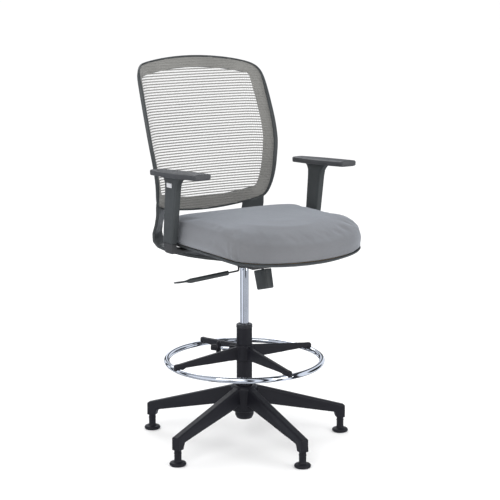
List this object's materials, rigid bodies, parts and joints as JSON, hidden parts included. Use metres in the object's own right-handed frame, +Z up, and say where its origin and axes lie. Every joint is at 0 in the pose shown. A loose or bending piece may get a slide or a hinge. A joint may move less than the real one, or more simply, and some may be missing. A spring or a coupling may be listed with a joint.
{
  "type": "drafting chair",
  "caption": "Swivelling drafting chair on fixed glides with a height-adjustable foot ring, mesh back, padded seat and adjustable arms.",
  "frame": {"origin": "on the floor under the middle of the chair, 30 mm in front of the gas column's axis", "axes": "+Z up along the column, -Y towards the front of the seat, +X towards the sitter's left"},
  "size_m": [0.6682, 0.738, 1.2107],
  "materials": {
    "black_nylon": "fine-textured glass-filled nylon, near-black",
    "frame_plastic": "satin dark grey moulded plastic",
    "arm_pad_grey": "soft-touch polyurethane skin, dark grey",
    "chrome": "bright chrome plate",
    "zinc_steel": "zinc-plated steel",
    "black_acetal": "smooth black acetal",
    "painted_casting": "black powder-coated casting",
    "moulded_plywood": "plain moulded plywood",
    "grey_fabric": "plain-woven mid-grey upholstery",
    "grey_mesh": "stretched warm grey knit with level stripes and open gaps between them",
    "button_light_grey": "light grey moulded plastic"
  },
  "bodies": {
    "base": {"star_base": "black_nylon", "glide_1": "black_nylon", "glide_2": "black_nylon", "glide_3": "black_nylon", "glide_4": "black_nylon", "glide_5": "black_nylon", "column_tube": "black_nylon", "guide_bush": "black_acetal", "thrust_bearing": "zinc_steel"},
    "swivel": {"piston_rod": "zinc_steel", "rod_clip": "zinc_steel"},
    "lift": {"pressure_cylinder": "chrome", "mechanism_housing": "painted_casting", "back_pivot_pin_right": "zinc_steel", "back_pivot_pin_left": "zinc_steel", "seat_pivot_pin": "zinc_steel", "tension_spring": "zinc_steel", "spring_plate": "zinc_steel"},
    "release": {"release_pin": "zinc_steel"},
    "lever": {"height_lever": "zinc_steel", "lever_grip": "black_nylon"},
    "tension": {"tension_knob": "black_nylon", "tension_bolt": "zinc_steel"},
    "seat": {"seat_shell": "black_nylon", "seat_board": "moulded_plywood", "seat_cushion": "grey_fabric", "seat_bracket": "zinc_steel", "arm_bracket_right": "zinc_steel", "arm_bracket_left": "zinc_steel", "seat_screw_front_right": "zinc_steel", "seat_screw_front_left": "zinc_steel", "seat_screw_rear_right": "zinc_steel", "seat_screw_rear_left": "zinc_steel"},
    "back": {"back_arm_right": "frame_plastic", "back_arm_left": "frame_plastic", "yoke_crossbar": "zinc_steel", "link_pin_right": "zinc_steel", "link_pin_left": "zinc_steel", "back_frame": "frame_plastic", "back_mesh": "grey_mesh", "back_screw_lower_right": "zinc_steel", "back_screw_lower_left": "zinc_steel", "back_screw_upper_right": "zinc_steel", "back_screw_upper_left": "zinc_steel"},
    "arm_right": {"arm_sleeve_right": "frame_plastic", "arm_pad_right": "arm_pad_grey"},
    "arm_left": {"arm_sleeve_left": "frame_plastic", "arm_pad_left": "arm_pad_grey"},
    "button_right": {"arm_button_right": "button_light_grey"},
    "button_left": {"arm_button_left": "button_light_grey"},
    "footring": {"footring_tube": "chrome", "footring_spider": "black_nylon"},
    "clamp": {"clamp_knob": "black_nylon", "clamp_stud": "chrome"}
  },
  "joints": [
    {"name": "seat_swivel", "type": "hinge", "parent": "base", "child": "swivel", "pos_m": [0, 0.03, 0.078], "axis": [0, 0, 1], "continuous": true},
    {"name": "seat_height", "type": "slide", "parent": "swivel", "child": "lift", "axis": [0, 0, 1], "range_m": [-0.16, 0.02]},
    {"name": "height_lever_lift", "type": "hinge", "parent": "lift", "child": "lever", "pos_m": [-0.044, -0.005, 0.598], "axis": [0, 1, 0], "range_deg": [0, 3.5], "stiffness_Nm_per_rad": 8, "springref_deg": -8.59},
    {"name": "release_pin_press", "type": "slide", "parent": "lift", "child": "release", "axis": [0, 0, -1], "range_m": [0, 0.003]},
    {"name": "tension_turn", "type": "hinge", "parent": "lift", "child": "tension", "pos_m": [0, -0.071, 0.585], "axis": [0, 0.2756, 0.9613], "range_deg": [-720, 720]},
    {"name": "back_tilt", "type": "hinge", "parent": "lift", "child": "back", "pos_m": [0, 0.02, 0.6], "axis": [-1, 0, 0], "range_deg": [0, 18], "stiffness_Nm_per_rad": 90, "springref_deg": -34.38},
    {"name": "seat_tilt", "type": "hinge", "parent": "lift", "child": "seat", "pos_m": [0, -0.085, 0.634], "axis": [-1, 0, 0], "range_deg": [0, 6.7]},
    {"name": "arm_height_right", "type": "slide", "parent": "seat", "child": "arm_right", "axis": [0, -0.1191, 0.9929], "range_m": [0, 0.07]},
    {"name": "arm_height_left", "type": "slide", "parent": "seat", "child": "arm_left", "axis": [0, -0.1191, 0.9929], "range_m": [0, 0.07]},
    {"name": "arm_button_press_right", "type": "slide", "parent": "arm_right", "child": "button_right", "axis": [1, 0, 0], "range_m": [0, 0.0025], "stiffness_N_per_m": 900, "springref_m": -0.002},
    {"name": "arm_button_press_left", "type": "slide", "parent": "arm_left", "child": "button_left", "axis": [-1, 0, 0], "range_m": [0, 0.0025], "stiffness_N_per_m": 900, "springref_m": -0.002},
    {"name": "footring_height", "type": "slide", "parent": "base", "child": "footring", "axis": [0, 0, 1], "range_m": [-0.07, 0.03]},
    {"name": "footring_clamp_turn", "type": "hinge", "parent": "footring", "child": "clamp", "pos_m": [-0.05515, 0.08515, 0.3], "axis": [-0.7071, 0.7071, 0], "range_deg": [0, 360]}
  ],
  "couplings": [
    {"joint": "seat_tilt", "follows": "back_tilt", "ratio": 0.37},
    {"joint": "release_pin_press", "follows": "height_lever_lift", "m_per_rad": 0.044}
  ]
}
